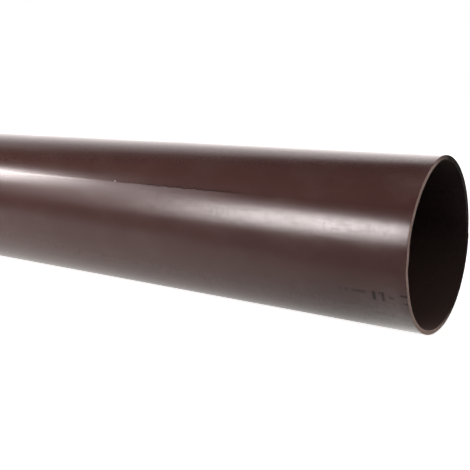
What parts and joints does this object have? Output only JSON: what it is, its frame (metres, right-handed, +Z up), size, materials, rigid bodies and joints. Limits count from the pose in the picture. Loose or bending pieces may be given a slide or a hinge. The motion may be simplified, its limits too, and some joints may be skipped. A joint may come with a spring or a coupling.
{
  "type": "pvc downpipe",
  "caption": "Plain round rainwater pipe: a thin-walled brown PVC tube, open right through, sawn square at both ends.",
  "frame": {"origin": "on the pipe's axis, halfway along it", "axes": "+X along the axis, out of the mouth that the picture shows; +Z up, as the pipe lies; +Y away from the side that the picture shows"},
  "size_m": [1, 0.0799, 0.08],
  "materials": {
    "brown_pvc": "smooth extruded, semi-gloss, with a paler sawn edge at each end"
  },
  "bodies": {
    "root": {"downpipe": "brown_pvc"}
  },
  "joints": []
}
